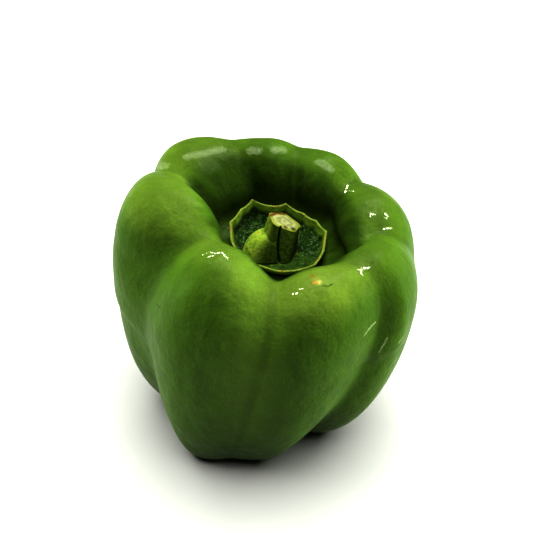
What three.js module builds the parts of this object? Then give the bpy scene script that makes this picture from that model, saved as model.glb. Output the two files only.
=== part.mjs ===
import * as THREE from "three";

// A green bell pepper standing on the feet of its lobes, with its calyx and its cut stem.
// Millimetres, +Z up. Azimuths are in degrees: 0 is +X, and 270 is -Y, the front.

// The lobes, counter-clockwise. A lobe's meridian is given by its foot [azimuth, radius, height],
// its belly [radius, height], its crest [azimuth, radius, height] and the wall of the well below
// the crest [azimuth, radius, how full the curve between crest and wall is]. A foot below zero is
// cut off flat where the fruit stands.
const LOBES = [
  { name: "right back", foot: [18, 20, 3], belly: [45, 54], crest: [13, 31.5, 75.5], wall: [5, 17.5, 0.55] },
  { name: "back right", foot: [45, 20, -0.9], belly: [42, 56], crest: [56, 31.5, 78.5], wall: [55, 17.5, 0.55] },
  { name: "back", foot: [88, 18, 0.5], belly: [43, 57], crest: [92, 31, 80.5], wall: [90, 17.5, 0.55] },
  { name: "back left", foot: [128, 19, 3], belly: [52, 58], crest: [131, 38, 81], wall: [126, 20, 0.5] },
  { name: "left", foot: [182, 24, -0.9], belly: [47, 58], crest: [178, 34, 83], wall: [200, 17, 0.8] },
  { name: "front left", foot: [237, 30, -0.9], belly: [44.5, 50], crest: [238, 28, 77], wall: [238, 17, 0.6] },
  { name: "front right", foot: [272, 23.5, -0.9], belly: [45, 50], crest: [296, 31, 72.5], wall: [292, 21, 0.55] },
  { name: "right", foot: [318, 23, 2], belly: [47, 50], crest: [330, 33, 72.5], wall: [314, 22, 0.5] },
];

// The groove after each lobe: [azimuth, depth] at its foot and wall, at the crest also how far it
// draws the crest in, and at the belly [sideways swing in degrees, depth]. Its bottom is how rounded it is, as a share of half a lobe,
// and its arch is how narrow it is against the lobes beside it.
const GROOVES = [
  { foot: [34, 4], belly: [0, 3], crest: [36, 3.5, 0], wall: [32, 2], bottom: 0.16, arch: 2 },
  { foot: [70, 2], belly: [0, 1], crest: [74, 1.5, 0], wall: [72, 1.5], bottom: 0.2, arch: 2.2 },
  { foot: [108, 3], belly: [0, 2], crest: [110, 1.5, 0], wall: [108, 2], bottom: 0.16, arch: 2.3 },
  { foot: [155, 6], belly: [0, 4.5], crest: [148, 5, 0], wall: [164, 6], bottom: 0.16, arch: 2.6 },
  { foot: [213, 8], belly: [-5, 5.5], crest: [213, 5, 9], wall: [214, 1], bottom: 0.28, arch: 1.7 },
  { foot: [255, 1], belly: [2, 1], crest: [271, 5.5, 0], wall: [270, 4], bottom: 0.16, arch: 2 },
  { foot: [290, 7.5], belly: [6, 3.5], crest: [319, 1, 0], wall: [306, 0.5], bottom: 0.2, arch: 1.8 },
  { foot: [365, 2], belly: [0, 1.5], crest: [352, 3.5, 0], wall: [325, 4], bottom: 0.2, arch: 2 },
];

// Folds across the left and the right lobe: below a fold the skin is set back by its step, and
// comes out again over its reach. A fold runs through a height at its azimuth, with a slope in
// millimetres per degree, and dies out sideways over its width in degrees.
const FOLDS = [
  { at: 196, wide: 26, height: 42, slope: -0.25, step: 1.3, soft: 1.8, reach: 26 },
  { at: 316, wide: 20, height: 45, slope: 0.12, step: 0.9, soft: 1.8, reach: 24 },
];

// Hollows below the crests, each around a height and an azimuth. They die out over their width in
// degrees and over their tall half, in millimetres.
const HOLLOWS = [
  { at: 205, wide: 14, height: 66, tall: 10, deep: 2 },
];

// The tip under the fruit, the seat in the well that carries the calyx, and how far the top of
// the fruit stands to the right of its feet.
const TIP_Z = 7;
const SEAT_Z = 60.5;
const SEAT_R = 11;
const WALL_Z = SEAT_Z + 6;
const LEAN = 5;
const LEAN_Z = 66;
const WELL_SHIFT = new THREE.Vector2(2, 0.5);
const WELL = new THREE.Vector2(LEAN + WELL_SHIFT.x, WELL_SHIFT.y);

// The shares of the climb from foot to crest where the insets are in full, and where they fade.
const INSET_START = 0.15;
const INSET_END = 0.8;

// How full the curves between a meridian's stations are.
const FULL = 0.55;
const FOOT_FULL = 0.52;
const BELLY_FULL = 0.6;
const TIP_INNER = 0.35;
const TIP_OUTER = 0.55;

// Columns from one lobe to the next, and rows on each stretch of a meridian.
const LOBE_COLUMNS = 10;
const ROWS = { tip: 6, foot: 12, belly: 9, crest: 9, wall: 5, seat: 2 };

// The calyx: a shallow cup with flat sides between the corners of its upturned rim. A corner is
// [azimuth, radius, height], measured from the well's middle.
const CALYX_CORNERS = [
  [8, 15.1, 65.8],
  [34, 14.6, 65.6],
  [54, 14.2, 65.9],
  [80, 16.2, 66.6],
  [97, 15.4, 66.2],
  [116, 17.6, 68.2],
  [132, 16.8, 66.8],
  [156, 15.8, 66.2],
  [186, 14, 64.8],
  [220, 14, 64.2],
  [253, 13.8, 63.9],
  [280, 15.2, 63.7],
  [311, 16.3, 64],
  [335, 15.1, 64.6],
];
const CALYX_Z = SEAT_Z + 0.3;
const CALYX_FLOOR_Z = CALYX_Z + 1.2;
const CALYX_EDGE = 0.8;
const CALYX_SAG = 0.5; // how far the rim dips between two corners
const CALYX_UNDER = 0.62; // the flat underside and the flat floor, as shares of the rim's radius
const CALYX_FLOOR = 0.72;
const CALYX_FULL = 0.8; // how full the curves from there up to the rim are
const CALYX_FLARE = 0.4;
const CALYX_SIDE_COLUMNS = 5;
const CALYX_ROWS = { under: 2, outside: 7, edge: 1, inside: 7, floor: 3 };

// The stem, a stub that leans to the back and the right and is cut at a slant.
const STEM_FOOT = new THREE.Vector3(6.9, -3.2, CALYX_FLOOR_Z + 0.3);
const STEM_TOP = new THREE.Vector3(9.1, 1.1, 70.4);
const STEM_FOOT_R = 5.4;
const STEM_TOP_R = 4.5;
const CUT_SLOPE = new THREE.Vector2(-0.43, -0.09);
const STEM_RIDGES = 5;
const STEM_RIDGE = 0.3;
const STEM_RIDGE_AT = 232;
const CRACK = { at: 252, turn: 25, wide: 7, deep: 1.3 };
const KNOB = { at: 184, wide: 40, out: 5.1, height: 4.4 };
const STEM_COLUMNS = 45;
const STEM_ROWS = { under: 2, side: 14, cut: 3 };

const { degToRad, lerp } = THREE.MathUtils;

function smooth(t) {
  const k = THREE.MathUtils.clamp(t, 0, 1);
  return k * k * (3 - 2 * k);
}

// Points [radius, height] along one Bezier arc, without its last one.
function arc(points, rows) {
  const corners = points.map(([r, z]) => new THREE.Vector2(r, z));
  return new THREE.CubicBezierCurve(...corners).getPoints(rows).slice(0, -1);
}

// A closed solid whose columns run counter-clockwise, each from the lower pole to the upper one.
function solid(columns) {
  const rows = columns[0].length;
  const count = columns.length;
  const last = 1 + (rows - 2) * count;
  const at = (column, row) => 1 + (row - 1) * count + (column % count);
  const points = [columns[0][0]];
  for (let row = 1; row < rows - 1; row += 1) {
    points.push(...columns.map((column) => column[row]));
  }
  points.push(columns[0][rows - 1]);
  const faces = [];
  for (let c = 0; c < count; c += 1) {
    faces.push(0, at(c + 1, 1), at(c, 1));
    for (let r = 1; r < rows - 2; r += 1) {
      faces.push(at(c, r), at(c + 1, r), at(c + 1, r + 1));
      faces.push(at(c, r), at(c + 1, r + 1), at(c, r + 1));
    }
    faces.push(at(c, rows - 2), at(c + 1, rows - 2), last);
  }
  const geometry = new THREE.BufferGeometry().setFromPoints(points);
  geometry.setIndex(faces);
  geometry.computeVertexNormals();
  return geometry;
}

// The stretches of a lobe's meridian, from the tip under the fruit to the middle of the seat.
function meridian({ footR, footZ, bellyR, bellyZ, crestR, crestZ, wallR, wallFull }) {
  const rise = bellyZ - footZ;
  const step = bellyR - footR;
  return [
    ...arc([[0, TIP_Z], [TIP_INNER * footR, TIP_Z], [TIP_OUTER * footR, footZ], [footR, footZ]],
      ROWS.tip),
    ...arc([[footR, footZ], [footR + FOOT_FULL * step, footZ], [bellyR, bellyZ - BELLY_FULL * rise],
      [bellyR, bellyZ]], ROWS.foot),
    ...arc([[bellyR, bellyZ], [bellyR, lerp(bellyZ, crestZ, FULL)], [lerp(crestR, bellyR, FULL), crestZ],
      [crestR, crestZ]], ROWS.belly),
    ...arc([[crestR, crestZ], [lerp(crestR, wallR, wallFull), crestZ],
      [wallR, lerp(WALL_Z, crestZ, wallFull)], [wallR, WALL_Z]], ROWS.crest),
    ...arc([[wallR, WALL_Z], [wallR, lerp(WALL_Z, SEAT_Z, FULL)], [lerp(SEAT_R, wallR, FULL), SEAT_Z],
      [SEAT_R, SEAT_Z]], ROWS.wall),
    ...arc([[SEAT_R, SEAT_Z], [SEAT_R * 2 / 3, SEAT_Z], [SEAT_R / 3, SEAT_Z], [0, SEAT_Z]], ROWS.seat),
    new THREE.Vector2(0, SEAT_Z),
  ];
}

// How much a groove counts at a share of the way between two lobes: 1 in its bottom.
function grooveWeight(share, { bottom, arch }) {
  const rim = Math.hypot(1, bottom);
  const away = Math.hypot(2 * share - 1, bottom);
  return ((rim - away) / (rim - bottom)) ** arch;
}

// How far azimuth a lies from azimuth b counter-clockwise, in degrees between -180 and 180.
function turned(a, b) {
  return THREE.MathUtils.euclideanModulo(a - b + 180, 360) - 180;
}

// How far the folds and the hollows set the skin back at an azimuth and a height.
function inset(azimuth, height) {
  const folded = FOLDS.reduce((sum, fold) => {
    const aside = turned(azimuth, fold.at);
    const below = fold.height + fold.slope * aside - height;
    const near = smooth(1 - Math.abs(aside) / fold.wide);
    const step = smooth((below + fold.soft) / (2 * fold.soft));
    return sum + fold.step * near * step * (1 - smooth((below - fold.soft) / fold.reach));
  }, 0);
  return HOLLOWS.reduce((sum, hollow) => {
    const aside = turned(azimuth, hollow.at) / hollow.wide;
    const above = (height - hollow.height) / hollow.tall;
    return sum + hollow.deep * Math.exp(-(aside ** 2) - above ** 2);
  }, folded);
}

function fruitColumn(index) {
  const lobe = Math.floor(index / LOBE_COLUMNS);
  const share = (index % LOBE_COLUMNS) / LOBE_COLUMNS;
  const here = LOBES[lobe];
  const next = LOBES[(lobe + 1) % LOBES.length];
  const groove = GROOVES[lobe];
  const turn = lobe + 1 < LOBES.length ? 0 : 360;
  const mix = (1 - Math.cos(Math.PI * share)) / 2;
  const weight = grooveWeight(share, groove);

  const value = (part, item) => lerp(here[part][item], next[part][item], mix);
  const depth = (part, item = 1) => weight * groove[part][item];
  const profile = meridian({
    footR: value("foot", 1) - depth("foot") / 2,
    footZ: value("foot", 2) + depth("foot"),
    bellyR: value("belly", 0) - depth("belly"),
    bellyZ: value("belly", 1),
    crestR: value("crest", 1) - depth("crest", 2),
    crestZ: value("crest", 2) - depth("crest"),
    wallR: value("wall", 1) + depth("wall"),
    wallFull: value("wall", 2),
  });

  const azimuth = (part) => (share < 0.5
    ? lerp(here[part][0], groove[part][0], 2 * share)
    : lerp(groove[part][0], next[part][0] + turn, 2 * share - 1));
  const swing = groove.belly[0] * (1 - Math.abs(2 * share - 1));
  const outside = ROWS.foot + ROWS.belly;
  return profile.map((point, row) => {
    const climb = THREE.MathUtils.clamp((row - ROWS.tip) / outside, 0, 1);
    const sink = smooth((row - ROWS.tip - outside) / ROWS.crest);
    const body = lerp(azimuth("foot"), azimuth("crest"), smooth(climb));
    const bow = swing * 16 * (climb * (1 - climb)) ** 2;
    const around = lerp(body + bow, azimuth("wall"), sink);
    const angle = degToRad(around);
    const fading = smooth((climb - INSET_END) / (1 - INSET_END));
    const window = smooth(climb / INSET_START) * (1 - fading);
    const radius = point.x - inset(around, point.y) * window;
    const lean = LEAN * THREE.MathUtils.clamp(point.y / LEAN_Z, 0, 1);
    return new THREE.Vector3(
      radius * Math.cos(angle) + lean + WELL_SHIFT.x * sink,
      radius * Math.sin(angle) + WELL_SHIFT.y * sink,
      Math.max(point.y, 0),
    );
  });
}

function fruitGeometry() {
  const columns = Array.from({ length: LOBES.length * LOBE_COLUMNS }, (_, index) => fruitColumn(index));
  return solid(columns);
}

// The rim's corners stand on straight sides, which dip a little between them.
function calyxColumn(index) {
  const side = Math.floor(index / CALYX_SIDE_COLUMNS);
  const share = (index % CALYX_SIDE_COLUMNS) / CALYX_SIDE_COLUMNS;
  const ends = [side, side + 1].map((corner) => {
    const [at, radius, height] = CALYX_CORNERS[corner % CALYX_CORNERS.length];
    const angle = degToRad(at);
    return new THREE.Vector3(radius * Math.cos(angle), radius * Math.sin(angle), height);
  });
  const rim = ends[0].clone().lerp(ends[1], share);
  const rimR = Math.hypot(rim.x, rim.y);
  const rimZ = rim.z - CALYX_SAG * Math.sin(Math.PI * share);
  const underR = CALYX_UNDER * rimR;
  const floorR = CALYX_FLOOR * rimR;
  const innerR = rimR - CALYX_EDGE;
  const profile = [
    ...arc([[0, CALYX_Z], [underR / 3, CALYX_Z], [underR * 2 / 3, CALYX_Z], [underR, CALYX_Z]],
      CALYX_ROWS.under),
    ...arc([[underR, CALYX_Z], [lerp(underR, rimR, CALYX_FULL), CALYX_Z],
      [rimR - CALYX_FLARE, lerp(CALYX_Z, rimZ, CALYX_FLARE)], [rimR, rimZ]], CALYX_ROWS.outside),
    ...arc([[rimR, rimZ], [rimR, rimZ], [innerR, rimZ], [innerR, rimZ]], CALYX_ROWS.edge),
    ...arc([[innerR, rimZ], [innerR - CALYX_FLARE, lerp(CALYX_FLOOR_Z, rimZ, CALYX_FLARE)],
      [lerp(floorR, innerR, CALYX_FULL), CALYX_FLOOR_Z], [floorR, CALYX_FLOOR_Z]], CALYX_ROWS.inside),
    ...arc([[floorR, CALYX_FLOOR_Z], [floorR * 2 / 3, CALYX_FLOOR_Z], [floorR / 3, CALYX_FLOOR_Z],
      [0, CALYX_FLOOR_Z]], CALYX_ROWS.floor),
    new THREE.Vector2(0, CALYX_FLOOR_Z),
  ];
  return profile.map((point) => new THREE.Vector3(
    WELL.x + rim.x * point.x / rimR,
    WELL.y + rim.y * point.x / rimR,
    point.y,
  ));
}

function calyxGeometry() {
  const length = CALYX_CORNERS.length * CALYX_SIDE_COLUMNS;
  return solid(Array.from({ length }, (_, index) => calyxColumn(index)));
}

// The stem's radius at an azimuth and a share of its height: five ridges, a bent crack down the front
// and a knob swelling out of its foot.
function stemRadius(at, share) {
  const round = lerp(STEM_FOOT_R, STEM_TOP_R, share);
  const ridge = STEM_RIDGE * Math.cos(degToRad(STEM_RIDGES * (at - STEM_RIDGE_AT)));
  const crackAt = CRACK.at + CRACK.turn * (1 - share) ** 2;
  const gash = CRACK.deep * Math.max(0, 1 - Math.abs(turned(at, crackAt)) / CRACK.wide);
  const height = share * (STEM_TOP.z - STEM_FOOT.z) / KNOB.height;
  const dome = Math.sqrt(Math.max(0, 1 - height * height));
  const knob = KNOB.out * dome * Math.exp(-((turned(at, KNOB.at) / KNOB.wide) ** 2));
  return round + ridge - gash + knob;
}

function stemPoint(at, share, scale) {
  const angle = degToRad(at);
  const radius = scale * stemRadius(at, share);
  const offset = new THREE.Vector2(radius * Math.cos(angle), radius * Math.sin(angle));
  const middle = STEM_FOOT.clone().lerp(STEM_TOP, share);
  const slant = share * CUT_SLOPE.dot(offset);
  return new THREE.Vector3(middle.x + offset.x, middle.y + offset.y, middle.z + slant);
}

function stemColumn(index) {
  const at = index * 360 / STEM_COLUMNS;
  const points = [];
  for (let row = 0; row < STEM_ROWS.under; row += 1) {
    points.push(stemPoint(at, 0, row / STEM_ROWS.under));
  }
  for (let row = 0; row < STEM_ROWS.side; row += 1) {
    points.push(stemPoint(at, row / STEM_ROWS.side, 1));
  }
  for (let row = 0; row <= STEM_ROWS.cut; row += 1) {
    points.push(stemPoint(at, 1, 1 - row / STEM_ROWS.cut));
  }
  return points;
}

function stemGeometry() {
  return solid(Array.from({ length: STEM_COLUMNS }, (_, index) => stemColumn(index)));
}

function part(name, geometry, color, roughness) {
  const mesh = new THREE.Mesh(geometry, new THREE.MeshStandardMaterial({ color, roughness, metalness: 0 }));
  mesh.name = name;
  return mesh;
}

const pepper = new THREE.Group();
pepper.name = "bell_pepper";
pepper.add(
  part("fruit", fruitGeometry(), 0x4c7a22, 0.3),
  part("calyx", calyxGeometry(), 0x3c5a18, 0.55),
  part("stem", stemGeometry(), 0x5a7a24, 0.6),
);

// The pepper stands with the middle of its outline over the origin.
const middle = new THREE.Box3().setFromObject(pepper).getCenter(new THREE.Vector3());
pepper.position.set(-middle.x, -middle.y, 0);

export default pepper;
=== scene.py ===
import math

import bpy
import numpy as np
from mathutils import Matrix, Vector


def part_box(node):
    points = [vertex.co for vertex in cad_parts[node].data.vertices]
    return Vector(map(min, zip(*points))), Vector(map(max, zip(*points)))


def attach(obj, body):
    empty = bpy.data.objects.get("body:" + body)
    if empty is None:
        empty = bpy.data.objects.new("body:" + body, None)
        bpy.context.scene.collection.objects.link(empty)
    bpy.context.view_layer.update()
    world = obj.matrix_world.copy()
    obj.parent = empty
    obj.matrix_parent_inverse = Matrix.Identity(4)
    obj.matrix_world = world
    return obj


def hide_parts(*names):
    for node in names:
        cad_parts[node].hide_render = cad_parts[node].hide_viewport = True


# A green bell pepper standing on a pale floor, seen from above its front.
# Lengths below are in millimetres from the middle of the pepper's feet, and MM turns them into
# metres. Azimuths are in degrees: 0 is +X, and 270 is -Y, the front.

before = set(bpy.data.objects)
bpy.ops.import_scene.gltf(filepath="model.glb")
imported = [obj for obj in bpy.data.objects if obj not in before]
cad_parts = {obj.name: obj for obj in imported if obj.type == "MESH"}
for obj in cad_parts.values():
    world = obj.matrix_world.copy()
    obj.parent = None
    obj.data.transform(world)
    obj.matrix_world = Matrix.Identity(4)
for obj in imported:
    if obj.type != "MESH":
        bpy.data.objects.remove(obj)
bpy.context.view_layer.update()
MM = 0.001

# The lobes, counter-clockwise: foot (azimuth, radius, height), belly (radius, height), crest
# (azimuth, radius, height) and the wall of the well below the crest (azimuth, radius, how full the
# curve between crest and wall is). A lobe's tint is how far its shoulder turns to a lighter,
# yellower green, partly the skin's paler shoulders and partly painted light, from which share of
# the climb on, and from which share of the way down into the well it turns dark with painted shade.
LOBES = [
    {"foot": (18, 20, 3), "belly": (45, 54), "crest": (13, 31.5, 75.5), "wall": (5, 17.5, 0.55),
     "tint": (0.25, 0.74, 0.05)},
    {"foot": (45, 20, -0.9), "belly": (42, 56), "crest": (56, 31.5, 78.5), "wall": (55, 17.5, 0.55),
     "tint": (0.12, 0.76, 0.05)},
    {"foot": (88, 18, 0.5), "belly": (43, 57), "crest": (92, 31, 80.5), "wall": (90, 17.5, 0.55),
     "tint": (0.05, 0.74, -0.02)},
    {"foot": (128, 19, 3), "belly": (52, 58), "crest": (131, 38, 81), "wall": (126, 20, 0.5),
     "tint": (0.45, 0.74, -0.1)},
    {"foot": (182, 24, -0.9), "belly": (47, 58), "crest": (178, 34, 83), "wall": (200, 17, 0.8),
     "tint": (0.6, 0.72, 0.4)},
    {"foot": (237, 30, -0.9), "belly": (44.5, 50), "crest": (238, 28, 77), "wall": (238, 17, 0.6),
     "tint": (0.5, 0.8, 0.3)},
    {"foot": (272, 23.5, -0.9), "belly": (45, 50), "crest": (296, 31, 72.5), "wall": (292, 21, 0.55),
     "tint": (1, 0.74, 0.3)},
    {"foot": (318, 23, 2), "belly": (47, 50), "crest": (330, 33, 72.5), "wall": (314, 22, 0.5),
     "tint": (0.2, 0.76, 0.25)},
]

# The groove after each lobe: (azimuth, depth) at its foot and wall, at the crest also how far it
# draws the crest in, and at the belly (sideways swing in degrees, depth). Its shape is how rounded
# its bottom is and how narrow it is.
GROOVES = [
    {"foot": (34, 4), "belly": (0, 3), "crest": (36, 3.5, 0), "wall": (32, 2), "shape": (0.16, 2)},
    {"foot": (70, 2), "belly": (0, 1), "crest": (74, 1.5, 0), "wall": (72, 1.5), "shape": (0.2, 2.2)},
    {"foot": (108, 3), "belly": (0, 2), "crest": (110, 1.5, 0), "wall": (108, 2), "shape": (0.16, 2.3)},
    {"foot": (155, 6), "belly": (0, 4.5), "crest": (148, 5, 0), "wall": (164, 6), "shape": (0.16, 2.6)},
    {"foot": (213, 8), "belly": (-5, 5.5), "crest": (213, 5, 9), "wall": (214, 1), "shape": (0.28, 1.7)},
    {"foot": (255, 1), "belly": (2, 1), "crest": (271, 5.5, 0), "wall": (270, 4), "shape": (0.16, 2)},
    {"foot": (290, 7.5), "belly": (6, 3.5), "crest": (319, 1, 0), "wall": (306, 0.5), "shape": (0.2, 1.8)},
    {"foot": (365, 2), "belly": (0, 1.5), "crest": (352, 3.5, 0), "wall": (325, 4), "shape": (0.2, 2)},
]

# Folds across the left and the right lobe: below a fold the skin is set back by its step, and
# comes out again over its reach.
FOLDS = [
    {"at": 196, "wide": 26, "height": 42, "slope": -0.25, "step": 1.3, "soft": 1.8, "reach": 26},
    {"at": 316, "wide": 20, "height": 45, "slope": 0.12, "step": 0.9, "soft": 1.8, "reach": 24},
]
# Hollows below the crests, at a height and an azimuth, that die out over their width in degrees
# and over their tall half, in millimetres.
HOLLOWS = [
    {"at": 205, "wide": 14, "height": 66, "tall": 10, "deep": 2},
]
# Folds and hollows come in over the first share of the climb from foot to crest, and go out from
# the second on.
INSET_START = 0.15
INSET_END = 0.8

# The hollow between the feet, the calyx's seat in the well, and the foot of the well's wall.
TIP_Z = 7
SEAT_Z = 60.5
SEAT_R = 11
WALL_Z = SEAT_Z + 6
# The pepper leans towards +X up to a height, and its well lies aside of the body.
LEAN = 5
LEAN_Z = 66
WELL_SHIFT = (2, 0.5)
WELL = (LEAN + WELL_SHIFT[0], WELL_SHIFT[1])
# How full the meridian's curves are: at the crest and the seat, out of the foot and up to the belly.
FULL = 0.55
FOOT_FULL = 0.52
BELLY_FULL = 0.6
# Where the curve between the feet bends, as shares of the foot's radius.
TIP_INNER = 0.35
TIP_OUTER = 0.55

# The mesh's columns in each lobe, and its rows in each stretch of a meridian.
LOBE_COLUMNS = 46
ROWS = {"tip": 20, "foot": 56, "belly": 40, "crest": 44, "wall": 20, "seat": 3}

# The calyx's rim corners (azimuth, radius, height), measured from the well's middle.
CALYX_CORNERS = [
    (8, 15.1, 65.8), (34, 14.6, 65.6), (54, 14.2, 65.9), (80, 16.2, 66.6), (97, 15.4, 66.2),
    (116, 17.6, 68.2), (132, 16.8, 66.8), (156, 15.8, 66.2), (186, 14, 64.8), (220, 14, 64.2),
    (253, 13.8, 63.9), (280, 15.2, 63.7), (311, 16.3, 64), (335, 15.1, 64.6),
]
# The gap between fruit and calyx, and between calyx and stem.
GAP = 0.3
# The cup's underside and floor, how thick its edge is and how far the edge's curve is drawn up, and
# how far the rim sags between two corners.
CALYX_Z = SEAT_Z + GAP
CALYX_FLOOR_Z = CALYX_Z + 1.2
CALYX_EDGE = 0.8
CALYX_BULGE = 0.3
CALYX_SAG = 0.5
# The radius of the underside and of the floor as shares of the rim's, how full the wall's curves
# are, and how they flare.
CALYX_UNDER = 0.62
CALYX_FLOOR = 0.72
CALYX_FULL = 0.8
CALYX_FLARE = 0.4
# How far below the rim the inner wall's colors reach at most.
CALYX_LIP = 3.5
CALYX_SIDE_COLUMNS = 30
CALYX_ROWS = {"under": 4, "outside": 24, "edge": 4, "inside": 26, "floor": 40}

# The stem: its middle and radius at foot and top, how far the cut rises along X and Y, its ridges,
# a bent crack down its front and a knob at the left of its foot.
STEM_FOOT = (6.9, -3.2, CALYX_FLOOR_Z + GAP)
STEM_TOP = (9.1, 1.1, 70.4)
STEM_FOOT_R = 5.4
STEM_TOP_R = 4.5
CUT_SLOPE = (-0.43, -0.09)
STEM_RIDGES = 5
STEM_RIDGE = 0.3
STEM_RIDGE_AT = 232
CRACK = {"at": 252, "turn": 25, "wide": 7, "deep": 1.3}
KNOB = {"at": 184, "wide": 40, "out": 5.1, "height": 4.4}
STEM_COLUMNS = 270
STEM_ROWS = {"under": 4, "side": 80, "cut": 36}

# Greens of the skin: on the flanks; on the shoulders of the lobes, partly their paler skin and
# partly painted light; down in the well, painted shade; along the groove in front, a painted sheen;
# and in nicks, also painted as shade along the creases.
FLANK_GREEN = (0.0365, 0.076, 0.0065, 1)
SHOULDER_PALE_AND_LIT_GREEN = (0.086, 0.134, 0.017, 1)
WELL_SHADE_GREEN = (0.018, 0.038, 0.003, 1)
FRONT_SHEEN_GREEN = (0.070, 0.126, 0.015, 1)
NICK_AND_CREASE_SHADE_GREEN = (0.010, 0.022, 0.002, 1)

# A painted sheen, a lighter streak beside the groove in front: its azimuth, its half width and
# the shares of the climb between which it comes in.
FRONT_SHEEN = {"at": 264, "wide": 18, "climb": (0.3, 0.65)}
# How much the green changes by lengthwise streaks, outside and down in the well, by patches and by
# a fine speckle, and how bright it is at the feet, darker there as painted shade, and from the belly up.
STREAKS = (0.35, 1.6)
PATCHES = 0.5
SPECKLE = 0.7
BRIGHTNESS_WITH_FOOT_SHADE = (0.44, 0.97)

# Gloss: how rough the skin is, its clear coat, and calyx and stem, how little they mirror without
# a coat, and the coat's weight all over the skin and where it sparkles.
SKIN_ROUGH = 0.38
COAT_ROUGH = 0.07
LEAF_ROUGH = 0.5
SPECULAR = 0.05
COAT = 0.02
SPARKLE = 0.35

# Raised wrinkles that throw sharp glints, and fainter ones, as lines of places.
WRINKLES = [
    [(-13.3, -22.7, 76.2), (-11.3, -22.2, 76.7), (-10, -23.1, 77), (-8.2, -22.6, 76.8),
     (-6.7, -24.5, 76.6)],
    [(-11.8, -24.3, 76.7), (-10.5, -24.1, 76.9)],
    [(30.1, 11.4, 74.3), (28.5, 13.1, 73.4), (27.4, 12.8, 72.9), (28.7, 16.4, 73.3)],
    [(34.3, 0.9, 73.7), (34, -0.2, 73.1)],
    [(34.4, 0.3, 73.4), (35.6, 0.3, 73.3)],
    [(38.4, 0.8, 73.3), (39.1, 0.3, 72.8), (38.4, -0.4, 72.6)],
    [(37.5, -3.4, 70.9), (40.2, -2.7, 70.7)],
    [(28.6, -23, 71.4), (30.7, -22, 71.2), (32.2, -21.7, 71.1)],
    [(29.8, -22.2, 71.3), (29.3, -23.4, 71.2), (29.5, -24.6, 70.8)],
    [(10.7, -32.1, 70.4), (11.9, -32.3, 70.7)],
    [(12.6, -31.1, 71.3), (13.4, -31.1, 71.5)],
]
FAINT_WRINKLES = [
    [(-19.9, -8, 79.2), (-18.8, -8.2, 78.8), (-17.7, -7.4, 79.1)],
    [(-16.9, -5.8, 79.9), (-16.5, -5.5, 80)],
]
FAINT = 0.25
WRINKLE_WIDTH = 0.8
# Smooth ridges on the lobes behind, with a soft gleam.
GLEAMS = [
    [(-20.5, 22.2, 79.8), (-16, 23.8, 80), (-10, 27.4, 79.5)],
    [(-30, 25.7, 74.5), (-27, 21.5, 76.8)],
    [(-1.3, 27.3, 79), (1.2, 26.6, 79.4)],
    [(6.5, 26.8, 79.6), (9, 27.6, 79.2)],
    [(20, 22.6, 77.8), (23.3, 20.1, 76.9)],
]
GLEAM_WIDTH = 2.8
GLEAM = 0.06
# How the tops of wrinkles and ridges face: a middle direction, and how it turns per millimetre.
WRINKLE_FACE = (0.18, -0.246, 0.957)
WRINKLE_TURN = (-0.0037, -0.0016, 0)

# Places where the skin is finely pitted and sparkles: (place, radius).
SPARKLES = [
    ((-10, -24, 77), 7), ((30, -22, 71.5), 7), ((36, 1, 73), 8), ((-18.5, -7.5, 79), 6),
    ((14, -31, 71), 6),
]

# A healed blemish on the front right lobe: (place, radius, color).
BLEMISHES = [
    ((17, -28.4, 72.3), 2.2, (0.15, 0.165, 0.03, 1)),
    ((17.7, -29.6, 72.3), 1.3, (0.34, 0.30, 0.08, 1)),
    ((16.6, -29.8, 72.3), 1.1, (0.30, 0.13, 0.03, 1)),
    ((15.9, -26.8, 72.2), 1.1, (0.15, 0.065, 0.018, 1)),
]
# Dark nicks and pale scratches on the skin, as lines.
NICK_WIDTH = 0.45
NICKS = [
    [(18.7, -30.7, 72.1), (20, -30.8, 71.9), (21.1, -29.9, 71.9)],
    [(-26.8, -23.9, 59.9), (-25.4, -26.8, 61)],
]
SCRATCH_WIDTH = 0.5
SCRATCH_SHARE = 0.7
SCRATCH_COLOR = (0.24, 0.30, 0.14, 1)
SCRATCHES = [
    [(30.3, -33.8, 57.2), (32.7, -30.8, 58.2)],
    [(31.5, -32.3, 58.1), (33.6, -29.7, 58.3)],
    [(35.5, -30.4, 47.6), (37.5, -29.4, 52.1)],
    [(41.3, -27.8, 49), (42.2, -27.1, 50.3)],
    [(41.1, -25.7, 39.2), (42, -24.9, 40.3)],
]

# On the cut: holes painted dark as shade (place, radius) near its front edge, and a scorched line on
# its left edge.
CUT_HOLE_SHADES = [((9.3, -2, 70.5), 1.3), ((11.6, -1.5, 69.5), 1.6)]
CUT_SCORCH = [[(4.9, 1.5, 72.2), (6.6, 4.4, 71.2), (9, 5.4, 70.1)]]
SCORCH_WIDTH = 0.9

# Colors of the calyx. Lists are stops of its blotchy noise.
CALYX_COLORS = {
    # The cup's floor: the calyx's dark green with painted shade, near black.
    "floor": [(0.38, (0.002, 0.007, 0.001, 1)), (0.55, (0.009, 0.024, 0.002, 1)),
              (0.72, (0.05, 0.09, 0.02, 1))],
    "speck": (0.10, 0.19, 0.065, 1),
    # The inner wall: painted shade in front, painted light behind.
    "front_wall": [(0.4, (0.014, 0.036, 0.003, 1)), (0.65, (0.045, 0.085, 0.010, 1))],
    "lit_back_wall": [(0.4, (0.12, 0.23, 0.018, 1)), (0.65, (0.24, 0.38, 0.035, 1))],
    "outside": [(0.4, (0.16, 0.25, 0.016, 1)), (0.65, (0.24, 0.34, 0.03, 1))],
    "lip": [(0.40, (0.10, 0.145, 0.018, 1)), (0.56, (0.17, 0.215, 0.035, 1)),
            (0.64, (0.17, 0.075, 0.02, 1))],
}
# The places along Y between which the inner wall turns from its painted shade in front to its
# painted light behind.
CALYX_WALL_SHADE_TURN = (WELL[1] - 8, WELL[1] + 6)
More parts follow.
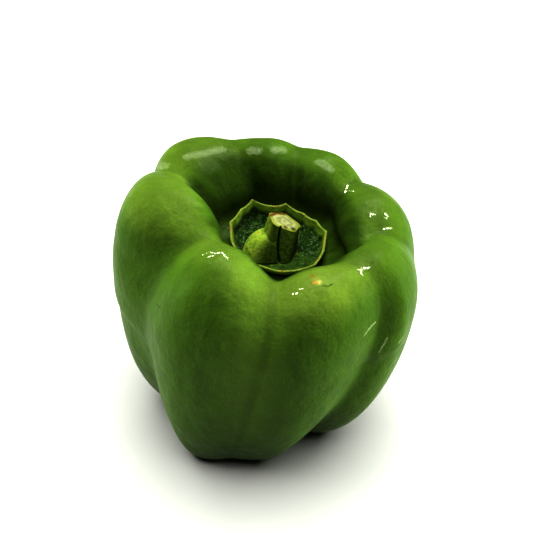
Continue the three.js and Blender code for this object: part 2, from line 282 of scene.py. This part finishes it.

# Colors of the stem: painted light on its left, painted shade on its front and in its crack and
# holes. Lists are stops of its lumps on the left, of its fibres in front and of its rings on the cut.
STEM_COLORS = {
    "left": [(0.35, (0.085, 0.145, 0.012, 1)), (0.6, (0.19, 0.265, 0.03, 1)),
             (0.74, (0.20, 0.10, 0.02, 1))],
    "front": [(0.35, (0.014, 0.026, 0.002, 1)), (0.65, (0.036, 0.062, 0.005, 1))],
    "crack": (0.002, 0.003, 0.001, 1),
    "cut": [(0.2, (0.115, 0.125, 0.035, 1)), (0.5, (0.17, 0.182, 0.068, 1)),
            (0.8, (0.22, 0.23, 0.115, 1))],
    "edge": (0.13, 0.15, 0.018, 1),
    "hole_shade": (0.012, 0.010, 0.004, 1),
    "scorch": (0.07, 0.020, 0.006, 1),
}
# The azimuths between which the stem turns from its left color, painted light, to its front color,
# painted shade, and by how many degrees that border wanders.
STEM_SHADE_TURN = (200.0, 236.0)
STEM_WANDER = 30.0
# The rings on the cut: how close they are, and how much they wave.
RINGS = 13.0
RING_WAVE = 11.0

# The lamps: place and what they point at in millimetres from the frame's origin, size, and power
# in watts. The wash lights the floor alone, so that the paper is bright and its shadow soft.
LAMPS = {
    "top": {"place": (0, 240, 760), "size": 280, "power": 17, "aim": (0, 0, 40)},
    "fill": {"place": (0, -350, 700), "size": 300, "power": 3.5, "aim": (0, 0, 40)},
    "spark": {"place": (165, 285, 620), "size": 140, "power": 4, "aim": (0, 0, 40)},
    "left": {"place": (-550, 80, 100), "size": 250, "power": 9.5, "aim": (0, 0, 50)},
    "right": {"place": (550, 0, 110), "size": 250, "power": 13, "aim": (0, 0, 50)},
    "wash": {"place": (60, 170, 830), "size": 1500, "power": 92, "aim": (0, -20, 0)},
}
SPARK_COLOR = (1, 1, 0.78)
ROOM_COLOR = (0.88, 1, 0.68, 1)
ROOM_STRENGTH = 0.05
PAPER_COLORS = [(0.3, (0.268, 0.272, 0.252, 1)), (0.7, (0.278, 0.282, 0.262, 1))]
PAPER_ROUGH = 0.9
PAPER_SIZE = 6000

CAMERA = {"lens": 58.2, "sensor": 36, "near": 10, "elevation": 38, "distance": 262,
          "target": (3.8, 0, 54.5)}
GAMMA = 0.72


def lerp(a, b, t):
    return a + (b - a) * t


def smooth(t):
    k = np.clip(t, 0, 1)
    return k * k * (3 - 2 * k)


def hump(t):
    """0 at both ends of a stretch and 1 in its middle."""
    return 16 * (t * (1 - t)) ** 2


def aside(azimuth, at):
    """How many degrees an azimuth lies aside of another, the short way round."""
    return (azimuth - at + 180) % 360 - 180


def arc(points, rows):
    """Rows of (radius, height) along one Bezier arc, without its last one, for every column."""
    t = (np.arange(rows) / rows)[None, :, None]
    p = [np.stack(np.broadcast_arrays(*point), -1)[:, None, :] for point in points]
    return ((1 - t) ** 3 * p[0] + 3 * (1 - t) ** 2 * t * p[1]
            + 3 * (1 - t) * t ** 2 * p[2] + t ** 3 * p[3])


def grid_mesh(name, grid):
    """A closed mesh from columns that run counter-clockwise, each from the lower pole up."""
    count, rows = grid.shape[:2]
    rings = grid[:, 1:-1].transpose(1, 0, 2).reshape(-1, 3)
    points = np.vstack([grid[0, 0], rings, grid[0, -1]])
    here = np.arange(count)
    there = (here + 1) % count
    faces = [(0, 1 + b, 1 + a) for a, b in zip(here, there)]
    for row in range(rows - 3):
        low = 1 + row * count
        high = low + count
        faces += [(low + a, low + b, high + b, high + a) for a, b in zip(here, there)]
    low = 1 + (rows - 3) * count
    faces += [(low + a, low + b, len(points) - 1) for a, b in zip(here, there)]
    mesh = bpy.data.meshes.new(name)
    mesh.from_pydata([tuple(p) for p in points * MM], [], [tuple(int(i) for i in f) for f in faces])
    mesh.shade_smooth()
    thing = bpy.data.objects.new(name, mesh)
    bpy.context.scene.collection.objects.link(thing)
    return thing


def point_value(thing, name, grid):
    """A value on every point of a grid mesh, given as columns of rows."""
    values = np.concatenate([grid[:1, 0], grid[:, 1:-1].T.ravel(), grid[:1, -1]])
    layer = thing.data.attributes.new(name, "FLOAT", "POINT")
    layer.data.foreach_set("value", values.astype(np.float32))


def table(source, part, item):
    return np.array([entry[part][item] for entry in source], float)


def fruit_columns():
    """For every column, the lobe before it, the lobe after it and the share of the way between."""
    index = np.arange(len(LOBES) * LOBE_COLUMNS)
    lobe = index // LOBE_COLUMNS
    return lobe, (lobe + 1) % len(LOBES), (index % LOBE_COLUMNS) / LOBE_COLUMNS


def lobe_value(part, item):
    """A number of the lobes on every column, blended from lobe to lobe."""
    lobe, following, share = fruit_columns()
    values = table(LOBES, part, item)
    return lerp(values[lobe], values[following], (1 - np.cos(np.pi * share)) / 2)


def groove_weight():
    """1 on a column at a groove's bottom, 0 on one in the middle of a lobe."""
    lobe, _, share = fruit_columns()
    bottom, arch = (table(GROOVES, "shape", item)[lobe] for item in (0, 1))
    rim = np.hypot(1, bottom)
    away = np.hypot(2 * share - 1, bottom)
    return ((rim - away) / (rim - bottom)) ** arch


def groove_depth(part, item=1):
    """How deep the grooves are on every column."""
    return groove_weight() * table(GROOVES, part, item)[fruit_columns()[0]]


def column_azimuth(part):
    """The azimuth of every column at a part, evenly from a lobe to a groove to the next lobe."""
    lobe, following, share = fruit_columns()
    turn = np.where(following == 0, 360, 0)
    middle = table(LOBES, part, 0)
    groove = table(GROOVES, part, 0)[lobe]
    before = lerp(middle[lobe], groove, 2 * share)
    after = lerp(groove, middle[following] + turn, 2 * share - 1)
    return np.where(share < 0.5, before, after)[:, None]


def hollow_share(hollow, azimuth, height):
    """1 in the middle of a hollow, less all round."""
    across = aside(azimuth, hollow["at"]) / hollow["wide"]
    upright = (height - hollow["height"]) / hollow["tall"]
    return np.exp(-(across ** 2 + upright ** 2))


def inset(azimuth, height):
    """How far folds and hollows set the skin back."""
    depth = np.zeros_like(height)
    for fold in FOLDS:
        across = aside(azimuth, fold["at"])
        below = fold["height"] + fold["slope"] * across - height
        near = smooth(1 - np.abs(across) / fold["wide"])
        step = smooth((below + fold["soft"]) / (2 * fold["soft"]))
        depth += fold["step"] * near * step * (1 - smooth((below - fold["soft"]) / fold["reach"]))
    for hollow in HOLLOWS:
        depth += hollow["deep"] * hollow_share(hollow, azimuth, height)
    return depth


def fruit_profile():
    """Radius and height on every column and row, before folds and hollows set them back."""
    foot_r = lobe_value("foot", 1) - groove_depth("foot") / 2
    foot_z = lobe_value("foot", 2) + groove_depth("foot")
    belly_r = lobe_value("belly", 0) - groove_depth("belly")
    belly_z = lobe_value("belly", 1)
    crest_r = lobe_value("crest", 1) - groove_depth("crest", 2)
    crest_z = lobe_value("crest", 2) - groove_depth("crest")
    wall_r = lobe_value("wall", 1) + groove_depth("wall")
    wall_full = lobe_value("wall", 2)
    seat_r = 0 * wall_r + SEAT_R
    return np.concatenate([
        arc([(0 * foot_r, TIP_Z), (TIP_INNER * foot_r, TIP_Z), (TIP_OUTER * foot_r, foot_z),
             (foot_r, foot_z)], ROWS["tip"]),
        arc([(foot_r, foot_z), (lerp(foot_r, belly_r, FOOT_FULL), foot_z),
             (belly_r, lerp(belly_z, foot_z, BELLY_FULL)), (belly_r, belly_z)], ROWS["foot"]),
        arc([(belly_r, belly_z), (belly_r, lerp(belly_z, crest_z, FULL)),
             (lerp(crest_r, belly_r, FULL), crest_z), (crest_r, crest_z)], ROWS["belly"]),
        arc([(crest_r, crest_z), (lerp(crest_r, wall_r, wall_full), crest_z),
             (wall_r, lerp(WALL_Z, crest_z, wall_full)), (wall_r, WALL_Z)], ROWS["crest"]),
        arc([(wall_r, WALL_Z), (wall_r, lerp(WALL_Z, SEAT_Z, FULL)),
             (lerp(SEAT_R, wall_r, FULL), SEAT_Z), (seat_r, SEAT_Z)], ROWS["wall"]),
        arc([(seat_r, SEAT_Z), (seat_r * 2 / 3, SEAT_Z), (seat_r / 3, SEAT_Z),
             (0 * seat_r, SEAT_Z)], ROWS["seat"]),
        np.broadcast_to([0.0, SEAT_Z], (len(foot_r), 1, 2)),
    ], axis=1)


def fruit_grid():
    """The fruit's points as columns of rows, and the values that its material reads."""
    profile = fruit_profile()
    radius, height = profile[..., 0], profile[..., 1]

    outside = ROWS["foot"] + ROWS["belly"]
    row = np.arange(profile.shape[1])[None, :]
    climb = np.clip((row - ROWS["tip"]) / outside, 0, 1)
    sink = smooth((row - ROWS["tip"] - outside) / ROWS["crest"])
    lobe, _, share = fruit_columns()
    swing = (table(GROOVES, "belly", 0)[lobe] * (1 - np.abs(2 * share - 1)))[:, None]
    body = lerp(column_azimuth("foot"), column_azimuth("crest"), smooth(climb))
    body = body + swing * hump(climb)
    around = lerp(body, column_azimuth("wall"), sink)
    window = smooth(climb / INSET_START) * (1 - smooth((climb - INSET_END) / (1 - INSET_END)))
    radius = radius - inset(around, height) * window
    angle = np.radians(around)
    lean = LEAN * np.clip(height / LEAN_Z, 0, 1)
    points = np.stack([
        radius * np.cos(angle) + lean + WELL_SHIFT[0] * sink,
        radius * np.sin(angle) + WELL_SHIFT[1] * sink,
        np.maximum(height, 0),
    ], -1)
    values = {
        "around": around,
        "climb": climb + 0 * around,
        "sink": sink + 0 * around,
        "hollow": sum(hollow_share(hollow, around, height) for hollow in HOLLOWS),
        "tint": lobe_value("tint", 0)[:, None] + 0 * around,
        "tint_start": lobe_value("tint", 1)[:, None] + 0 * around,
        "well_shade_start": lobe_value("tint", 2)[:, None] + 0 * around,
        "crease": groove_weight()[:, None] + 0 * around,
    }
    return points, values


def calyx_grid():
    """The calyx's points as columns of rows, and the values that its material reads."""
    index = np.arange(len(CALYX_CORNERS) * CALYX_SIDE_COLUMNS)
    side = index // CALYX_SIDE_COLUMNS
    share = (index % CALYX_SIDE_COLUMNS) / CALYX_SIDE_COLUMNS
    at, radius, height = (np.array(values, float) for values in zip(*CALYX_CORNERS))
    corner = np.stack([radius * np.cos(np.radians(at)), radius * np.sin(np.radians(at)), height], -1)
    rim = lerp(corner[side], corner[(side + 1) % len(corner)], share[:, None])
    rim_r = np.hypot(rim[:, 0], rim[:, 1])
    rim_z = rim[:, 2] - CALYX_SAG * np.sin(np.pi * share)
    under_r = CALYX_UNDER * rim_r
    floor_r = CALYX_FLOOR * rim_r
    inner_r = rim_r - CALYX_EDGE
    profile = np.concatenate([
        arc([(0 * rim_r, CALYX_Z), (under_r / 3, CALYX_Z), (under_r * 2 / 3, CALYX_Z),
             (under_r, CALYX_Z)], CALYX_ROWS["under"]),
        arc([(under_r, CALYX_Z), (lerp(under_r, rim_r, CALYX_FULL), CALYX_Z),
             (rim_r - CALYX_FLARE, lerp(CALYX_Z, rim_z, CALYX_FLARE)), (rim_r, rim_z)],
            CALYX_ROWS["outside"]),
        arc([(rim_r, rim_z), (rim_r, rim_z + CALYX_BULGE), (inner_r, rim_z + CALYX_BULGE),
             (inner_r, rim_z)], CALYX_ROWS["edge"]),
        arc([(inner_r, rim_z), (inner_r - CALYX_FLARE, lerp(CALYX_FLOOR_Z, rim_z, CALYX_FLARE)),
             (lerp(floor_r, inner_r, CALYX_FULL), CALYX_FLOOR_Z), (floor_r, CALYX_FLOOR_Z)],
            CALYX_ROWS["inside"]),
        arc([(floor_r, CALYX_FLOOR_Z), (floor_r * 2 / 3, CALYX_FLOOR_Z), (floor_r / 3, CALYX_FLOOR_Z),
             (0 * rim_r, CALYX_FLOOR_Z)], CALYX_ROWS["floor"]),
        np.broadcast_to([0.0, CALYX_FLOOR_Z], (len(index), 1, 2)),
    ], axis=1)
    scale = profile[..., 0] / rim_r[:, None]
    points = np.stack([
        WELL[0] + rim[:, :1] * scale,
        WELL[1] + rim[:, 1:2] * scale,
        profile[..., 1],
    ], -1)
    row = np.arange(profile.shape[1])[None, :] + 0 * scale
    lip = CALYX_ROWS["under"] + CALYX_ROWS["outside"] + CALYX_ROWS["edge"] / 2
    values = {
        "inside": (row > lip).astype(float),
        "below_lip": np.clip((rim_z[:, None] - profile[..., 1]) / CALYX_LIP, 0, 1),
    }
    return points, values


def in_crack(at, share):
    """1 along the middle of the crack, 0 from its width on."""
    middle = CRACK["at"] + CRACK["turn"] * (1 - share) ** 2
    return np.clip(1 - np.abs(aside(at, middle)) / CRACK["wide"], 0, 1)


def stem_radius(at, share):
    """The stem's radius at an azimuth, at a share of its height."""
    around = lerp(STEM_FOOT_R, STEM_TOP_R, share)
    ridge = STEM_RIDGE * np.cos(np.radians(STEM_RIDGES * (at - STEM_RIDGE_AT)))
    gash = CRACK["deep"] * in_crack(at, share)
    height = share * (STEM_TOP[2] - STEM_FOOT[2]) / KNOB["height"]
    dome = np.sqrt(np.clip(1 - height * height, 0, 1))
    knob = KNOB["out"] * dome * np.exp(-((aside(at, KNOB["at"]) / KNOB["wide"]) ** 2))
    return around + ridge - gash + knob


def stem_grid():
    """The stem's points as columns of rows, and the values that its material reads."""
    at = (np.arange(STEM_COLUMNS) * 360 / STEM_COLUMNS)[:, None]
    under, side, cut = (STEM_ROWS[part] for part in ("under", "side", "cut"))
    share = np.concatenate([np.zeros(under), np.arange(side) / side, np.ones(cut + 1)])[None, :]
    scale = np.concatenate([np.arange(under) / under, np.ones(side), 1 - np.arange(cut + 1) / cut])
    radius = stem_radius(at, share) * scale[None, :]
    x = radius * np.cos(np.radians(at))
    y = radius * np.sin(np.radians(at))
    slant = share * (CUT_SLOPE[0] * x + CUT_SLOPE[1] * y)
    points = np.stack([
        lerp(STEM_FOOT[0], STEM_TOP[0], share) + x,
        lerp(STEM_FOOT[1], STEM_TOP[1], share) + y,
        lerp(STEM_FOOT[2], STEM_TOP[2], share) + slant,
    ], -1)
    row = np.arange(len(scale))[None, :] + 0 * x
    values = {
        "on_cut": (row >= under + side).astype(float),
        "outward": scale[None, :] + 0 * x,
        "facing": at + 0 * x,
        "crack": in_crack(at, share) + 0 * x,
    }
    return points, values


def node(tree, kind, inputs=None, **settings):
    """A new node with its settings made and its inputs linked or set."""
    made = tree.nodes.new(kind)
    for key, value in settings.items():
        setattr(made, key, value)
    for key, value in (inputs or {}).items():
        if isinstance(value, bpy.types.NodeSocket):
            tree.links.new(value, made.inputs[key])
        else:
            made.inputs[key].default_value = value
    return made


def maths(tree, operation, *values):
    return node(tree, "ShaderNodeMath", dict(enumerate(values)), operation=operation).outputs[0]


def vector(tree, operation, *values):
    made = node(tree, "ShaderNodeVectorMath", dict(enumerate(values)), operation=operation)
    return made.outputs["Value" if operation in ("DOT_PRODUCT", "DISTANCE") else "Vector"]


def spread(tree, noise, amount):
    """A noise that lies about 0 and reaches half the amount to each side."""
    return maths(tree, "MULTIPLY", maths(tree, "SUBTRACT", noise, 0.5), amount)


def threefold(tree, value):
    """A vector with one value along all its axes."""
    return node(tree, "ShaderNodeCombineXYZ", {0: value, 1: value, 2: value}).outputs[0]


def between(tree, value, low, high, start=0.0, end=1.0):
    """Goes smoothly from start to end while the value goes from low to high."""
    made = node(tree, "ShaderNodeMapRange", {"Value": value, "From Min": low, "From Max": high,
                                             "To Min": start, "To Max": end},
                interpolation_type="SMOOTHSTEP")
    return made.outputs["Result"]


def blend(tree, factor, one, other):
    """One color that turns to the other while the factor goes from 0 to 1."""
    return node(tree, "ShaderNodeMix", {0: factor, 6: one, 7: other}, data_type="RGBA").outputs[2]


def grain(tree, place, scale, detail=3.0, rough=0.55):
    return node(tree, "ShaderNodeTexNoise", {"Vector": place, "Scale": scale, "Detail": detail,
                                             "Roughness": rough}).outputs["Fac"]


def bumped(tree, height, strength, deep, **more):
    """The way a surface faces with a relief on it, as deep as that many millimetres."""
    inputs = {"Height": height, "Strength": strength, "Distance": deep * MM, **more}
    return node(tree, "ShaderNodeBump", inputs).outputs["Normal"]


def held(tree, name):
    """A value that the mesh holds on its points."""
    return node(tree, "ShaderNodeAttribute", attribute_name=name).outputs["Fac"]


def ramp(tree, factor, stops):
    made = node(tree, "ShaderNodeValToRGB", {"Fac": factor})
    elements = made.color_ramp.elements
    while len(elements) < len(stops):
        elements.new(0.5)
    for element, (place, color) in zip(elements, stops):
        element.position = place
        element.color = color
    return made.outputs["Color"]


def new_material(name):
    made = bpy.data.materials.new(name)
    made.use_nodes = True
    tree = made.node_tree
    return made, tree, tree.nodes["Principled BSDF"]


def join(tree, shader, color, normal, rough):
    """Gives a shader its color, its relief and a dull surface."""
    tree.links.new(color, shader.inputs["Base Color"])
    tree.links.new(normal, shader.inputs["Normal"])
    shader.inputs["Roughness"].default_value = rough
    shader.inputs["Specular IOR Level"].default_value = SPECULAR


def millimetres(tree):
    """The place on a piece in millimetres from the middle of the pepper's feet."""
    raw = node(tree, "ShaderNodeTexCoord").outputs["Object"]
    return vector(tree, "ADD", vector(tree, "MULTIPLY", raw, (1 / MM,) * 3), tuple(-v for v in shift))


def near_line(tree, place, start, end, width):
    """1 on a straight line between two places, 0 from its width on."""
    a, b = np.array(start, float), np.array(end, float)
    along = b - a
    offset = vector(tree, "SUBTRACT", place, tuple(a))
    share = maths(tree, "DIVIDE", vector(tree, "DOT_PRODUCT", offset, tuple(along)), float(along @ along))
    share = maths(tree, "MAXIMUM", maths(tree, "MINIMUM", share, 1.0), 0.0)
    foot = vector(tree, "MULTIPLY", threefold(tree, share), tuple(along))
    return between(tree, vector(tree, "DISTANCE", offset, foot), 0.0, width, 1.0, 0.0)


def near_lines(tree, place, lines, width):
    total = 0.0
    for line in lines:
        for start, end in zip(line, line[1:]):
            total = maths(tree, "MAXIMUM", total, near_line(tree, place, start, end, width))
    return total


def near_spots(tree, place, spots):
    """1 in the middle of each spot (place, radius), 0 from its radius on."""
    total = 0.0
    for middle, radius in spots:
        away = vector(tree, "DISTANCE", place, tuple(map(float, middle)))
        total = maths(tree, "MAXIMUM", total, between(tree, away, 0.0, radius, 1.0, 0.0))
    return total


def skin_green(tree, place):
    """Green of flanks, painted front sheen, shoulders with painted light, well with painted shade."""
    climb, sink = held(tree, "climb"), held(tree, "sink")
    ragged = maths(tree, "ADD", climb, spread(tree, grain(tree, place, 0.06, 4), 0.25))
    past = maths(tree, "SUBTRACT", ragged, held(tree, "tint_start"))
    # Paler, yellower shoulders: partly the skin's own, partly painted light, less in the hollow's shade.
    lit = maths(tree, "MULTIPLY", between(tree, past, 0.0, 0.2), between(tree, sink, 0.1, 0.6, 1.0, 0.0))
    lit = maths(tree, "MULTIPLY", lit, held(tree, "tint"))
    lit = maths(tree, "MULTIPLY", lit, between(tree, held(tree, "hollow"), 0.1, 0.9, 1.0, 0.1))
    # The painted sheen beside the front groove.
    beside = maths(tree, "ABSOLUTE", maths(tree, "SUBTRACT", held(tree, "around"), FRONT_SHEEN["at"]))
    front_sheen = maths(tree, "MULTIPLY", between(tree, beside, 1.0, FRONT_SHEEN["wide"], 1.0, 0.0),
                     between(tree, climb, *FRONT_SHEEN["climb"]))
    color = blend(tree, front_sheen, FLANK_GREEN, FRONT_SHEEN_GREEN)
    color = blend(tree, lit, color, SHOULDER_PALE_AND_LIT_GREEN)
    # Painted shade: the green turns dark down in the well.
    into_well_shade = maths(tree, "SUBTRACT", sink, held(tree, "well_shade_start"))
    return blend(tree, between(tree, into_well_shade, 0.0, 0.5), color, WELL_SHADE_GREEN)


def skin_depth(tree, place, fine):
    """How bright the green is, with its streaks, patches and speckle, and painted shade at the feet."""
    climb, sink = held(tree, "climb"), held(tree, "sink")
    lengthwise = node(tree, "ShaderNodeCombineXYZ", {
        0: maths(tree, "MULTIPLY", held(tree, "around"), 0.16),
        1: maths(tree, "MULTIPLY", climb, 1.5),
        2: maths(tree, "MULTIPLY", sink, 1.5),
    }).outputs[0]
    streaks = spread(tree, grain(tree, lengthwise, 1.0, 4), between(tree, sink, 0.1, 0.5, *STREAKS))
    patches = spread(tree, grain(tree, place, 0.16, 5, 0.6), PATCHES)
    depth = maths(tree, "ADD", streaks, patches)
    depth = maths(tree, "ADD", depth, spread(tree, fine, SPECKLE))
    depth = maths(tree, "ADD", depth, 1.0)
    # Darker towards the feet: painted shade.
    return maths(tree, "MULTIPLY", depth, between(tree, climb, 0.05, 0.5, *BRIGHTNESS_WITH_FOOT_SHADE))


def skin_marks(tree, place, color, uneven):
    """The color with painted shade along the creases, the blemish, scratches and nicks on it."""
    # Painted shade along the bottoms of the grooves outside.
    crease_shade = maths(tree, "MULTIPLY", between(tree, held(tree, "crease"), 0.93, 1.0),
                    between(tree, held(tree, "sink"), 0.0, 0.1, 0.2, 0.0))
    color = blend(tree, crease_shade, color, NICK_AND_CREASE_SHADE_GREEN)
    for middle, radius, mark_color in BLEMISHES:
        spot = maths(tree, "MULTIPLY", near_spots(tree, place, [(middle, radius)]), uneven)
        color = blend(tree, spot, color, mark_color)
    pale = maths(tree, "MULTIPLY", near_lines(tree, place, SCRATCHES, SCRATCH_WIDTH), uneven)
    color = blend(tree, maths(tree, "MULTIPLY", pale, SCRATCH_SHARE), color, SCRATCH_COLOR)
    nicked = maths(tree, "MULTIPLY", near_lines(tree, place, NICKS, NICK_WIDTH), uneven)
    return blend(tree, nicked, color, NICK_AND_CREASE_SHADE_GREEN)


def skin_coat(tree, shader, place, uneven):
    """The clear coat: more of it where the skin glints, and turned to the light on the lines."""
    broken = grain(tree, place, 2.2, 2, 0.5)
    faint = maths(tree, "MULTIPLY", near_lines(tree, place, FAINT_WRINKLES, WRINKLE_WIDTH), FAINT)
    wrinkled = maths(tree, "MAXIMUM", near_lines(tree, place, WRINKLES, WRINKLE_WIDTH), faint)
    wrinkled = maths(tree, "MULTIPLY", wrinkled, between(tree, broken, 0.42, 0.56, 0.1, 1.0))
    pitted = maths(tree, "MULTIPLY", near_spots(tree, place, SPARKLES), SPARKLE)
    gleam = maths(tree, "POWER", near_lines(tree, place, GLEAMS, GLEAM_WIDTH), 1.6)
    gleam = maths(tree, "MULTIPLY", gleam, uneven)
    shine = maths(tree, "MAXIMUM", wrinkled, pitted)
    shine = maths(tree, "MAXIMUM", shine, maths(tree, "MULTIPLY", gleam, GLEAM))
    tree.links.new(maths(tree, "ADD", shine, COAT), shader.inputs["Coat Weight"])
    shader.inputs["Coat Roughness"].default_value = COAT_ROUGH

    pits = bumped(tree, grain(tree, place, 0.9, 3, 0.6), 1.0, 0.7)
    tops = vector(tree, "ADD", vector(tree, "MULTIPLY", place, WRINKLE_TURN), WRINKLE_FACE)
    turned = maths(tree, "MAXIMUM", wrinkled, between(tree, gleam, 0.0, 0.3))
    facing = node(tree, "ShaderNodeMix", {0: turned, 4: pits, 5: tops}, data_type="VECTOR").outputs[1]
    tree.links.new(vector(tree, "NORMALIZE", facing), shader.inputs["Coat Normal"])


def skin_material():
    made, tree, shader = new_material("pepper_skin")
    place = millimetres(tree)
    fine = grain(tree, place, 1.7, 3, 0.65)
    uneven = between(tree, fine, 0.35, 0.65, 0.4, 1.0)
    depth = threefold(tree, skin_depth(tree, place, fine))
    color = vector(tree, "MULTIPLY", skin_green(tree, place), depth)
    pores = bumped(tree, grain(tree, place, 1.1, 3), 0.22, 0.5)
    dents = bumped(tree, grain(tree, place, 0.11, 3, 0.5), 1.0, 1.1, Normal=pores)
    join(tree, shader, skin_marks(tree, place, color, uneven), dents, SKIN_ROUGH)
    skin_coat(tree, shader, place, uneven)
    return made


def calyx_material():
    made, tree, shader = new_material("calyx_leaf")
    place = millimetres(tree)
    below_lip = held(tree, "below_lip")
    blotch = grain(tree, place, 0.45, 5, 0.65)
    specks = grain(tree, place, 2.2, 3, 0.6)
    tones = {part: ramp(tree, blotch, CALYX_COLORS[part])
             for part in ("floor", "front_wall", "lit_back_wall", "outside", "lip")}
    bottom = blend(tree, between(tree, specks, 0.57, 0.68), tones["floor"], CALYX_COLORS["speck"])
    back = node(tree, "ShaderNodeSeparateXYZ", {0: place}).outputs[1]
    # Painted shade on the inner wall in front, painted light behind.
    wall = blend(tree, between(tree, back, *CALYX_WALL_SHADE_TURN), tones["front_wall"], tones["lit_back_wall"])
    cup = blend(tree, between(tree, below_lip, 0.2, 0.75), wall, bottom)
    color = blend(tree, held(tree, "inside"), tones["outside"], cup)
    reach = maths(tree, "ADD", below_lip, spread(tree, blotch, 0.2))
    color = blend(tree, between(tree, reach, 0.0, 0.11, 1.0, 0.0), color, tones["lip"])
    lumps = maths(tree, "ADD", blotch, maths(tree, "MULTIPLY", specks, 0.5))
    join(tree, shader, color, bumped(tree, lumps, 0.8, 1.2), LEAF_ROUGH)
    return made


def cut_color(tree, place, lumps):
    """The pale cut with its rings, green edge, holes painted as shade and scorched side."""
    outward = held(tree, "outward")
    rings = maths(tree, "SINE", maths(tree, "ADD", maths(tree, "MULTIPLY", outward, RINGS),
                                      maths(tree, "MULTIPLY", lumps, RING_WAVE)))
    color = ramp(tree, maths(tree, "ADD", maths(tree, "MULTIPLY", rings, 0.25), 0.5), STEM_COLORS["cut"])
    color = blend(tree, between(tree, outward, 0.62, 0.92), color, STEM_COLORS["edge"])
    # Holes painted dark as shade.
    color = blend(tree, near_spots(tree, place, CUT_HOLE_SHADES), color, STEM_COLORS["hole_shade"])
    return blend(tree, near_lines(tree, place, CUT_SCORCH, SCORCH_WIDTH), color, STEM_COLORS["scorch"])


def stem_material():
    made, tree, shader = new_material("stem_stalk")
    place = millimetres(tree)
    lumps = grain(tree, place, 0.7, 4, 0.6)
    fibres = grain(tree, vector(tree, "MULTIPLY", place, (2.5, 2.5, 0.25)), 1.0, 3)
    left = ramp(tree, lumps, STEM_COLORS["left"])
    front = ramp(tree, fibres, STEM_COLORS["front"])
    turn = maths(tree, "ADD", held(tree, "facing"), spread(tree, lumps, STEM_WANDER))
    # Painted light on the stem's left side, painted shade on its front.
    color = blend(tree, between(tree, turn, *STEM_SHADE_TURN), left, front)
    # The crack is painted near black as shade.
    color = blend(tree, between(tree, held(tree, "crack"), 0.35, 0.95), color, STEM_COLORS["crack"])
    color = blend(tree, held(tree, "on_cut"), color, cut_color(tree, place, lumps))
    relief = maths(tree, "ADD", lumps, maths(tree, "MULTIPLY", fibres, 0.4))
    join(tree, shader, color, bumped(tree, relief, 0.7, 0.8), LEAF_ROUGH)
    return made


def paper_material():
    made, tree, shader = new_material("floor_paper")
    place = node(tree, "ShaderNodeTexCoord").outputs["Object"]
    color = ramp(tree, grain(tree, place, 30.0, 2.0, 0.5), PAPER_COLORS)
    tree.links.new(color, shader.inputs["Base Color"])
    shader.inputs["Roughness"].default_value = PAPER_ROUGH
    return made


def new_piece(name, grown, material):
    """A piece from its grid of points, with the values that its material reads."""
    points, values = grown
    thing = grid_mesh(name, points + shift)
    for value_name, grid in values.items():
        point_value(thing, value_name, grid)
    thing.data.materials.append(material)
    return thing


def light(name, place, size, power, aim):
    lamp = bpy.data.lights.new(name, "AREA")
    lamp.size = size * MM
    lamp.energy = power
    thing = bpy.data.objects.new(name, lamp)
    thing.location = Vector(place) * MM
    thing.rotation_mode = "QUATERNION"
    thing.rotation_quaternion = (Vector(aim) * MM - thing.location).to_track_quat("-Z", "Y")
    bpy.context.scene.collection.objects.link(thing)
    return thing


# The pieces are moved from the middle of the feet to the middle of the frame's box.
fruit_grown = fruit_grid()
frame_low, frame_high = (np.array(corner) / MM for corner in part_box("fruit"))
own_middle = (fruit_grown[0].min((0, 1)) + fruit_grown[0].max((0, 1))) / 2
shift = (frame_low + frame_high) / 2 - own_middle
shift[2] = 0

fruit = new_piece("pepper_fruit", fruit_grown, skin_material())
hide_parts("fruit")

calyx = new_piece("pepper_calyx", calyx_grid(), calyx_material())
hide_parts("calyx")

stem = new_piece("pepper_stem", stem_grid(), stem_material())
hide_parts("stem")

pepper = bpy.data.collections.new("pepper")
for piece in (fruit, calyx, stem):
    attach(piece, "root")
    pepper.objects.link(piece)

# Floor and room.
bpy.ops.mesh.primitive_plane_add(size=PAPER_SIZE * MM)
floor = bpy.context.object
floor.name = "floor"
floor.data.materials.append(paper_material())
paper = bpy.data.collections.new("paper")
paper.objects.link(floor)

world = bpy.data.worlds.new("studio")
bpy.context.scene.world = world
world.use_nodes = True
world.node_tree.nodes["Background"].inputs["Color"].default_value = ROOM_COLOR
world.node_tree.nodes["Background"].inputs["Strength"].default_value = ROOM_STRENGTH
world.cycles_visibility.glossy = False

# Lamps. Only the spark is mirrored in the skin, and it gives no other light.
lamps = {name: light(name, **values) for name, values in LAMPS.items()}
for name, lamp in lamps.items():
    lamp.light_linking.receiver_collection = paper if name == "wash" else pepper
    lamp.visible_glossy = name == "spark"
lamps["spark"].data.color = SPARK_COLOR
lamps["spark"].visible_diffuse = False

# Camera and tones.
camera_data = bpy.data.cameras.new("camera")
camera_data.lens = CAMERA["lens"]
camera_data.sensor_width = CAMERA["sensor"]
camera_data.clip_start = CAMERA["near"] * MM
camera = bpy.data.objects.new("camera", camera_data)
bpy.context.scene.collection.objects.link(camera)
bpy.context.scene.camera = camera
elevation = math.radians(CAMERA["elevation"])
backward = Vector((0, -math.cos(elevation), math.sin(elevation)))
camera.location = (Vector(CAMERA["target"]) + Vector(shift)) * MM + backward * CAMERA["distance"] * MM
camera.rotation_mode = "QUATERNION"
camera.rotation_quaternion = (-backward).to_track_quat("-Z", "Y")
bpy.context.scene.view_settings.view_transform = "Standard"
bpy.context.scene.view_settings.gamma = GAMMA
